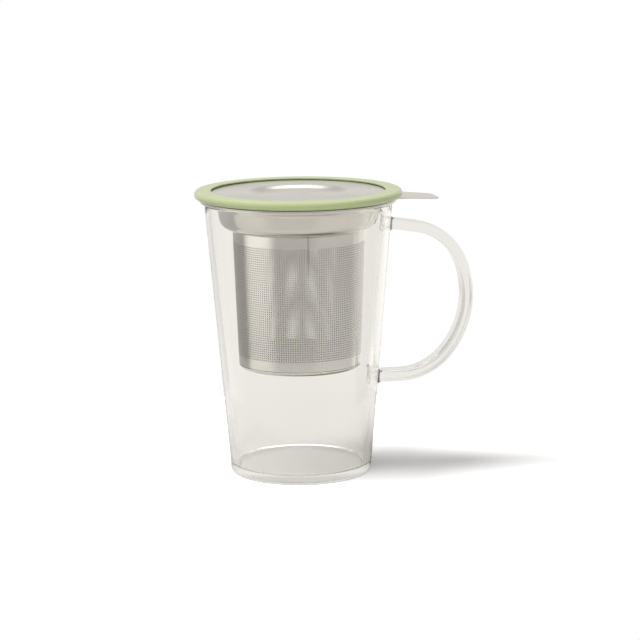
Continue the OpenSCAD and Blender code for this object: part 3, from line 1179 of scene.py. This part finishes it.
    def base_skin(self) -> Skin:
        """Pressed pan with a perforated floor and a low wall round the sleeve's end.

        Square holes stand on a square grid wherever they fit inside the flat floor. The cells
        one bar beyond them make the pierced sheet, whose stepped edge is joined by one strip
        of quads to a circle at the same angles, and from there the pan's section is turned.

        Returns:
            The closed skin.
        """
        reach = int(self.base_floor_r / self.base_hole_pitch)
        index = np.arange(-reach - 1, reach + 2)
        middles = index[:, None] * self.base_hole_pitch
        lines = (middles + np.array([-0.5, 0.5]) * self.hole_w).ravel()
        fits = index[:, None] ** 2 + index[None, :] ** 2 <= (reach - 0.5) ** 2
        hole = np.zeros((len(lines) - 1, len(lines) - 1), bool)
        hole[::2, ::2] = fits
        wide = np.pad(hole, 1)
        near = [np.roll(wide, (i, j), (0, 1)) for i in (-1, 0, 1) for j in (-1, 0, 1)]
        solid = np.any(near, axis=0)[1:-1, 1:-1] & ~hole
        grid_x, grid_y = np.meshgrid(lines, lines, indexing="ij")
        count = grid_x.size
        low, high = self.base.low, self.base.low + self.sheet_t
        under = np.stack([grid_x, grid_y, np.full_like(grid_x, low)], axis=-1).reshape(-1, 3)
        above = under + [0, 0, self.sheet_t]
        sheet = sheet_quads(solid, hole, False, count)

        edge = self.outer_edge(solid)
        place = above[edge[:, 0]]
        order = np.argsort(np.arctan2(place[:, 1], place[:, 0]))
        loop = edge[order, 0]
        angles = np.arctan2(place[order, 1], place[order, 0])

        top = self.base.high
        face = np.array([
            [self.base_floor_r, low, 0],
            [self.sleeve_r(low), low, self.base_round],
            [self.sleeve_r(top), top, 0],
        ])
        section = filled_in(sheet_outline(face, self.sheet_t), STEEL_STEP)
        turned_part = round_points(*section.T, angles)
        first = 2 * count
        wall = grid_quads(len(angles), len(section), True, False) + first
        ring_under = first + np.arange(len(angles)) * len(section)
        ring_above = ring_under + len(section) - 1
        strip_above = np.column_stack([
            ring_above, np.roll(ring_above, -1), np.roll(loop, -1), loop
        ])
        strip_under = np.column_stack([
            ring_under, loop + count, np.roll(loop, -1) + count, np.roll(ring_under, -1)
        ])
        points = np.concatenate([above, under, turned_part])
        return Skin(points, [np.concatenate([sheet, wall, strip_above, strip_under])]).tidied()

    @staticmethod
    def outer_edge(solid: np.ndarray) -> np.ndarray:
        """Edges of the solid cells that border neither a solid cell nor a hole.

        Args:
            solid: Which cells are solid, as [column, row].

        Returns:
            One row [start, end] of point numbers for each edge, with the cells on its left.
        """
        columns, rows = solid.shape
        filled = np.pad(solid, 1)
        outside = np.zeros_like(filled)
        line = np.cumsum(filled, axis=0)
        outside |= (line == 0) | (line == line[-1:])
        line = np.cumsum(filled, axis=1)
        outside |= (line == 0) | (line == line[:, -1:])
        outside &= ~filled
        across, up = np.meshgrid(np.arange(columns), np.arange(rows), indexing="ij")
        lines = rows + 1
        corner = [
            across * lines + up,
            (across + 1) * lines + up,
            (across + 1) * lines + up + 1,
            across * lines + up + 1,
        ]
        neighbours = (outside[1:-1, :-2], outside[2:, 1:-1], outside[1:-1, 2:], outside[:-2, 1:-1])
        found = []
        for number, free in enumerate(neighbours):
            pick = solid & free
            found.append(np.column_stack([corner[number][pick], corner[(number + 1) % 4][pick]]))
        return np.concatenate(found)

    def dress(self) -> None:
        """Puts the four pieces of the basket into the scene."""
        steel = RolledSteel().material()
        welded = RolledSteel("welded_steel", weld_tint=self.weld_tint).material()
        pieces = {
            "collar": (self.collar_skin(), "basket_collar", steel),
            "rim_plate": (self.plate_skin(), "basket_rim", steel),
            "perforated_sleeve": (self.sleeve_skin(), "basket_sleeve", welded),
            "perforated_base": (self.base_skin(), "basket_base", steel),
        }
        for name, (skin, node, finish) in pieces.items():
            fitted(written(name, skin), Body.BASKET, finish, (node,))


@dataclass
class Lid:
    """The lid: a dished steel plate held in a silicone ring."""

    plate_t: float = 0.6 * MM
    dish_r: float = 22.0 * MM
    dish_depth: float = 1.3 * MM
    dish_slope_w: float = 3.4 * MM
    dish_upper_round: float = 5.0 * MM
    dish_lower_round: float = 2.5 * MM
    ring_w: float = 7.2 * MM
    ring_lift: float = 0.5 * MM
    ring_round_share: float = 0.48
    lip_t: float = 0.62 * MM
    lip_reach: float = 1.4 * MM
    lip_round: float = 0.25 * MM
    skirt_t: float = 1.6 * MM
    skirt_r: float = 34.2 * MM
    skirt_round: float = 0.5 * MM
    skirt_inner_round: float = 0.3 * MM
    seat_inset: float = 1.0 * MM
    seat_round: float = 0.2 * MM
    ring_step: float = 1.5 * MM

    plate: Extent = field(default_factory=lambda: Extent.of("lid_plate"))
    ring: Extent = field(default_factory=lambda: Extent.of("lid_ring"))
    flange: Extent = field(default_factory=lambda: Extent.of("basket_collar"))
    seat: Extent = field(default_factory=lambda: Extent.of("basket_rim"))

    def plate_skin(self) -> Skin:
        """Steel disc with a shallow round dish, as the section of a bent sheet turned about Z.

        The section is rolled so that it starts and ends on the axis.

        Returns:
            The closed skin.
        """
        top, floor = self.plate.high, self.plate.high - self.dish_depth
        face = np.array([
            [self.plate.x, top, 0],
            [self.dish_r, top, self.dish_upper_round],
            [self.dish_r - self.dish_slope_w, floor, self.dish_lower_round],
            [0, floor, 0],
        ])
        outline = filled_in(sheet_outline(face, self.plate_t), 2 * STEEL_STEP, closed=True)
        start = int(np.flatnonzero(outline[:, 0] == 0)[-1])
        return turned(np.roll(outline, -start, axis=0))

    def ring_skin(self) -> Skin:
        """Silicone ring with a groove for the plate, a thin lip over it, a seat and a skirt.

        Its rounded section is turned about Z.

        Returns:
            The closed skin.
        """
        seat_z, seat_r = self.seat.high, self.flange.x - self.seat_inset
        under, top = seat_z + self.ring_lift, self.ring.high
        edge_round = self.ring_round_share * (top - under)
        inner_r = self.ring.x - self.ring_w
        skirt_inner_r = self.skirt_r - self.skirt_t
        plate_under = self.plate.high - self.plate_t
        corners = np.array([
            [skirt_inner_r, self.ring.low, self.skirt_inner_round],
            [self.skirt_r, self.ring.low, self.skirt_round],
            [self.skirt_r, seat_z, 0],
            [seat_r, seat_z, self.seat_round],
            [seat_r, under, 0],
            [self.ring.x, under, edge_round],
            [self.ring.x, top, edge_round],
            [inner_r, top, self.lip_round],
            [inner_r, top - self.lip_t, 0],
            [inner_r + self.lip_reach, top - self.lip_t, 0],
            [inner_r + self.lip_reach, self.plate.high, 0],
            [self.plate.x, self.plate.high, 0],
            [self.plate.x, plate_under, 0],
            [skirt_inner_r, plate_under, 0],
        ])
        return turned(filled_in(rounded(corners), self.ring_step, closed=True))

    def dress(self) -> None:
        """Puts the plate and the ring into the scene."""
        pieces = {
            "lid_disc": (self.plate_skin(), "lid_plate", Slot.TURNED_STEEL, TurnedSteel()),
            "silicone_ring": (self.ring_skin(), "lid_ring", Slot.SILICONE, PaleSilicone()),
        }
        for name, (skin, node, slot, finish) in pieces.items():
            fitted(written(name, skin), Body.LID, finish.material(), (node,))


# ------------------------------------------------------------------ studio


@dataclass(frozen=True)
class Panel:
    """Upright screen or gap on the studio's horizon, as polished metal mirrors it.

    side is the bearing of its middle, measured from the camera's, half_width where it has
    faded out and soft the width of its fading edge. change is what it adds to the brightness,
    and at_table what it adds where the table ends. Above the horizon it fades out. A panel in
    the glass only is left out where nothing lies between the metal and the eye.
    """

    side: float
    half_width: float
    soft: float
    change: float
    at_table: float
    in_glass_only: bool = False


@dataclass
class Studio:
    """White studio: floor, surrounding light, one soft light and the camera.

    The surroundings are a dressing and not a room: metal, glass, matt surfaces and the camera
    each see a brightness of their own.
    """

    camera_bearing: float = math.radians(-100.5)
    camera_distance: float = 0.9483
    camera_height: float = 0.2481
    camera_pitch: float = 0.1891
    camera_yaw: float = 0.0094
    camera_roll: float = -0.0095
    camera_lens: float = 124.2
    camera_near: float = 0.05
    sensor: float = 36.0

    # Brightness of what metal mirrors, and the sines of elevation between which it changes
    wall: float = 0.785
    wall_high: float = 0.76
    horizon: Fade = Fade(0.09, 0.0)
    wall_dim: float = -0.18
    dim_fade: Fade = Fade(0.25, 0.58)
    wall_at_table: float = -0.28
    table_near: Fade = Fade(-0.28, -0.21)
    table_far: Fade = Fade(-0.14, -0.20)
    wall_top: float = 2.9
    screen_across: Fade = Fade(0.60, 0.84)
    screen_foot: Fade = Fade(0.665, 0.75)
    screen_head: Fade = Fade(0.92, 0.85)

    # Brightness of what glass shows, and where the backdrop behind the mug begins
    through: float = 0.81
    through_backdrop: float = 0.045
    backdrop_fade: Fade = Fade(-0.55, -0.80)
    warmth: tuple[float, float, float] = (1.0, 0.978, 0.94)
    soft_fill: float = 0.27
    front_fill: float = 1.0

    lamp_bearing: float = math.radians(-184)
    lamp_rise: float = math.radians(71)
    lamp_distance: float = 2.2
    lamp_wide: float = 0.36
    lamp_tall: float = 1.15
    lamp_power: float = 39.0
    # Enough for light that runs round inside the strap
    bounces: int = 32
    floor_r: float = 0.15
    floor_gap: float = 0.05 * MM
    paper: tuple[float, float, float] = (0.88, 0.88, 0.88)
    paper_through: tuple[float, float, float] = (0.25, 0.246, 0.24)
    through_glow: float = 0.575
    through_warmth: tuple[float, float, float] = (1.0, 0.973, 0.948)
    turned_loss: float = 0.25
    turned_near: Fade = Fade(110 * MM, 50 * MM)
    # Painted light on the paper, seen through the glass: a sparkling ring round the foot and an
    # arc behind it
    foot_outside: Fade = Fade(35 * MM, 32 * MM)
    foot_inside: Fade = Fade(29 * MM, 31 * MM)
    foot_sparkle: float = 0.55
    sparkle_scale: float = 420.0
    sparkle_fade: Fade = Fade(0.46, 0.66)
    foot_arc: float = 0.9
    arc_fade: Fade = Fade(25 * MM, 28 * MM)
    paper_round: tuple[float, float, float] = (0.79, 0.765, 0.73)
    paper_glow: float = 0.20
    paper_cloud: float = 0.005
    paper_cloud_scale: float = 30.0
    # Painted light on the floor, beside the shadow's line and far out along it, that narrows and
    # shortens the shadow
    glow_beside: float = 0.5
    shadow_back: float = 9 * MM
    beside_fade: Fade = Fade(0.0, 38 * MM)
    tail_glow: float = 0.07
    tail_fade: Fade = Fade(70 * MM, 150 * MM)

    def panels(self) -> tuple[Panel, ...]:
        """The white backdrop, the dark gap beside it, and the screens left and right.

        Returns:
            The four panels.
        """
        backdrop = Panel(math.radians(154), math.radians(50), math.radians(20), 0.25, 0.68)
        gap = Panel(math.radians(-134), math.radians(31), math.radians(9), -0.38, -0.05, True)
        left = Panel(math.radians(-76), math.radians(38), math.radians(30), 0.15, 1.10)
        right = Panel(math.radians(75), math.radians(58), math.radians(30), 0.10, 0.16)
        return backdrop, gap, left, right

    def toward(self, side: float) -> tuple[float, float, float]:
        """Level direction at a bearing measured from the camera's."""
        angle = self.camera_bearing + side
        return math.cos(angle), math.sin(angle), 0.0

    def mirrored_walls(self, recipe: Recipe, way: object, path: bpy.types.Node) -> object:
        """Brightness of the studio's walls as metal mirrors them.

        Args:
            recipe: The world being wired up.
            way: The direction looked in.
            path: The world's Light Path node.

        Returns:
            The socket with the brightness.
        """
        rise = recipe.node("SeparateXYZ", Vector=way).outputs["Z"]
        near_end = recipe.share(rise, self.table_near)
        table_end = recipe.math("MULTIPLY", near_end, recipe.share(rise, self.table_far))
        upright = recipe.share(rise, self.horizon)
        dim = recipe.share(rise, self.dim_fade)
        walls = recipe.math("MULTIPLY_ADD", upright, self.wall - self.wall_high, self.wall_high)
        walls = recipe.math("MULTIPLY_ADD", dim, self.wall_dim, walls)
        walls = recipe.math("MULTIPLY_ADD", table_end, self.wall_at_table, walls)
        flat = recipe.vector_math("MULTIPLY", way, (1, 1, 0)).outputs["Vector"]
        bearing = recipe.vector_math("NORMALIZE", flat).outputs["Vector"]
        screen = self.high_screen(recipe, rise, bearing)
        walls = recipe.math("MULTIPLY_ADD", screen, self.wall_top - self.wall_high, walls)
        in_glass = recipe.math("MINIMUM", path.outputs["Transmission Depth"], 1.0)
        for panel in self.panels():
            aim = self.toward(panel.side)
            near = recipe.vector_math("DOT_PRODUCT", bearing, aim).outputs["Value"]
            edge = Fade(math.cos(panel.half_width), math.cos(panel.half_width - panel.soft))
            band = recipe.math("MULTIPLY", recipe.share(near, edge, eased=True), upright)
            if panel.in_glass_only:
                band = recipe.math("MULTIPLY", band, in_glass)
            extra = panel.at_table - panel.change
            change = recipe.math("MULTIPLY_ADD", table_end, extra, panel.change)
            walls = recipe.math("MULTIPLY_ADD", band, change, walls)
        return walls

    def high_screen(self, recipe: Recipe, rise: object, bearing: object) -> object:
        """Share of the bright screen that hangs high behind the mug.

        Args:
            recipe: The world being wired up.
            rise: Sine of the elevation looked at.
            bearing: Level direction looked in.

        Returns:
            The socket with a number from 0 to 1.
        """
        away = recipe.vector_math("DOT_PRODUCT", bearing, self.toward(math.pi)).outputs["Value"]
        across = recipe.share(away, self.screen_across)
        foot = recipe.share(rise, self.screen_foot)
        head = recipe.share(rise, self.screen_head)
        return recipe.math("MULTIPLY", across, recipe.math("MULTIPLY", foot, head))

    @staticmethod
    def turned_in_glass(recipe: Recipe, path: bpy.types.Node) -> bpy.types.NodeSocket:
        """1 for light that has passed two glass faces, between which it may have turned.

        Args:
            recipe: The world or material being wired up.
            path: Its Light Path node.

        Returns:
            The socket with the 1 or 0.
        """
        return recipe.math("COMPARE", path.outputs["Transmission Depth"], 2.0, 0.5)

    def world(self) -> None:
        """White for the camera and through glass, and softly uneven in reflections."""
        world = bpy.data.worlds.new("studio")
        bpy.context.scene.world = world
        world.use_nodes = True
        world.cycles.sampling_method = "NONE"
        recipe = Recipe.of_world(world)
        way = recipe.tree.nodes.new("ShaderNodeTexCoord").outputs["Generated"]
        path = recipe.node("LightPath")
        walls = self.mirrored_walls(recipe, way, path)
        front = recipe.vector_math("DOT_PRODUCT", way, self.toward(0)).outputs["Value"]
        turned = self.turned_in_glass(recipe, path)
        behind = recipe.math("MAXIMUM", recipe.share(front, self.backdrop_fade), turned)
        glassy = recipe.math("MULTIPLY_ADD", behind, self.through_backdrop, self.through)
        facing = recipe.math("POWER", recipe.math("MAXIMUM", front, 0.0), 2.0)
        soft = recipe.math("MULTIPLY_ADD", facing, self.front_fill, self.soft_fill)
        mirrored = recipe.math("SUBTRACT", path.outputs["Glossy Depth"], turned)
        mirrored = recipe.node("Clamp", Value=mirrored).outputs[0]
        scattered = recipe.math("MINIMUM", path.outputs["Diffuse Depth"], 1.0)
        seen = path.outputs["Is Camera Ray"]
        light = recipe.spread(seen, glassy, 1.0)
        light = recipe.spread(mirrored, light, walls)
        light = recipe.spread(scattered, light, soft)
        tone = recipe.blend(seen, self.warmth, (1, 1, 1))
        background = recipe.node("Background", Color=tone, Strength=light)
        recipe.tree.links.new(background.outputs[0], recipe.output.inputs["Surface"])

    def floor(self) -> None:
        """Pale floor that keeps the mug's shadow, narrowed and shortened by painted light, and is
        white elsewhere.
        """
        angles = np.linspace(0, 2 * math.pi, TURN_SIDES, endpoint=False)
        edge = round_points(np.array([self.floor_r]), np.array([-self.floor_gap]), angles)
        mesh = written("studio_floor", Skin(edge, [np.arange(TURN_SIDES)[None]]))
        floor = bpy.data.objects.new("studio_floor", mesh)
        bpy.context.scene.collection.objects.link(floor)
        recipe = Recipe("floor_paper")
        place = recipe.place()
        cloud = recipe.noise(place, self.paper_cloud_scale)
        path = recipe.node("LightPath")
        seen = path.outputs["Is Camera Ray"]
        not_turned = recipe.math("SUBTRACT", 1.0, self.turned_in_glass(recipe, path))
        bounced = recipe.math("MULTIPLY", path.outputs["Glossy Depth"], not_turned)
        bounced = recipe.math("ADD", bounced, path.outputs["Diffuse Depth"])
        bounced = recipe.math("MINIMUM", bounced, 1.0)
        tone = recipe.blend(bounced, self.paper_through, self.paper_round)
        tone = recipe.blend(seen, tone, self.paper)
        paper = recipe.node("BsdfDiffuse", Color=tone)
        low, high = self.paper_glow - self.paper_cloud, self.paper_glow + self.paper_cloud
        glow = recipe.spread(cloud, low, high)
        # Painted light: glow for the camera beside the shadow's line and far out along it narrows
        # and shortens the shadow
        away = recipe.vector_math("DOT_PRODUCT", place, self.toward(math.pi)).outputs["Value"]
        beside = recipe.math("ABSOLUTE", recipe.math("SUBTRACT", away, self.shadow_back))
        beside = recipe.share(beside, self.beside_fade, eased=True)
        glow = recipe.math("MULTIPLY_ADD", beside, self.glow_beside, glow)
        off = recipe.vector_math("LENGTH", place).outputs["Value"]
        tail = recipe.share(off, self.tail_fade)
        glow = recipe.math("MULTIPLY_ADD", tail, self.tail_glow, glow)
        glow = recipe.math("MULTIPLY", seen, glow)
        through = recipe.math("MINIMUM", path.outputs["Transmission Depth"], 1.0)
        through = recipe.math("MULTIPLY", through, recipe.math("SUBTRACT", 1.0, bounced))
        turns = recipe.math("MINIMUM", path.outputs["Glossy Depth"], 1.0)
        turns = recipe.math("MULTIPLY", turns, recipe.share(off, self.turned_near))
        kept = recipe.math("MULTIPLY_ADD", turns, -self.turned_loss, 1.0)
        through = recipe.math("MULTIPLY", through, kept)
        glow = recipe.math("MULTIPLY_ADD", through, self.gathered(recipe), glow)
        glow_tone = recipe.blend(seen, self.through_warmth, (1, 1, 1))
        light = recipe.node("Emission", Color=glow_tone, Strength=glow)
        both = recipe.node("AddShader")
        recipe.tree.links.new(paper.outputs[0], both.inputs[0])
        recipe.tree.links.new(light.outputs[0], both.inputs[1])
        mesh.materials.append(recipe.finish(both))

    def gathered(self, recipe: Recipe) -> bpy.types.NodeSocket:
        """Painted light on the paper, seen only through the glass.

        It stands for light that the thick foot gathers: sparkles on a ring round its edge and a
        clear arc behind it.

        Args:
            recipe: The paper's material.

        Returns:
            The socket with the brightness.
        """
        place = recipe.place()
        off = recipe.vector_math("LENGTH", place).outputs["Value"]
        outside = recipe.share(off, self.foot_outside)
        ring = recipe.math("MULTIPLY", outside, recipe.share(off, self.foot_inside))
        # Painted light: sparkles on a ring round the foot and an arc behind it, for the light the
        # foot gathers
        speck = recipe.noise(place, self.sparkle_scale, detail=3.0)
        speck = recipe.share(speck, self.sparkle_fade)
        away = recipe.vector_math("DOT_PRODUCT", place, self.toward(math.pi)).outputs["Value"]
        arc = recipe.share(away, self.arc_fade)
        speck = recipe.math("MULTIPLY", speck, self.foot_sparkle)
        speck = recipe.math("MULTIPLY_ADD", arc, self.foot_arc, speck)
        return recipe.math("MULTIPLY_ADD", ring, speck, self.through_glow)

    def lamp(self) -> None:
        """Tall softbox high on one side, which throws the mug's shadow to the other."""
        lamp = bpy.data.lights.new("softbox", "AREA")
        lamp.shape = "RECTANGLE"
        lamp.size = self.lamp_wide
        lamp.size_y = self.lamp_tall
        lamp.energy = self.lamp_power
        holder = bpy.data.objects.new("softbox", lamp)
        bpy.context.scene.collection.objects.link(holder)
        holder.visible_glossy = False
        holder.visible_transmission = False
        turn = Matrix.Rotation(self.lamp_bearing + math.pi / 2, 4, "Z")
        tilt = Matrix.Rotation(math.pi / 2 - self.lamp_rise, 4, "X")
        back_off = Matrix.Translation((0, 0, self.lamp_distance))
        holder.matrix_world = turn @ tilt @ back_off

    def camera(self) -> None:
        """Long lens, a little above the lid, that looks slightly down at the mug."""
        lens = bpy.data.cameras.new("camera")
        lens.lens = self.camera_lens
        lens.sensor_width = self.sensor
        lens.clip_start = self.camera_near
        holder = bpy.data.objects.new("camera", lens)
        bpy.context.scene.collection.objects.link(holder)
        place = Vector((
            self.camera_distance * math.cos(self.camera_bearing),
            self.camera_distance * math.sin(self.camera_bearing),
            self.camera_height,
        ))
        heading = self.camera_bearing + math.pi - self.camera_yaw
        turn = Matrix.Rotation(heading - math.pi / 2, 4, "Z")
        tilt = Matrix.Rotation(math.pi / 2 - self.camera_pitch, 4, "X")
        roll = Matrix.Rotation(self.camera_roll, 4, "Z")
        holder.matrix_world = Matrix.Translation(place) @ turn @ tilt @ roll
        bpy.context.scene.camera = holder

    def set_up(self) -> None:
        """Builds the whole studio."""
        self.camera()
        self.world()
        self.floor()
        self.lamp()
        scene = bpy.context.scene
        scene.view_settings.view_transform = "Standard"
        scene.cycles.max_bounces = self.bounces
        scene.cycles.transmission_bounces = self.bounces
        scene.cycles.glossy_bounces = self.bounces


def main() -> None:
    """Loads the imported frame, dresses it piece by piece and sets up the studio."""
    logging.basicConfig(level=logging.INFO, format="%(name)s: %(message)s")
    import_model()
    Studio().set_up()
    GlassMug().dress()
    Infuser().dress()
    Lid().dress()


if __name__ == "__main__":
    main()
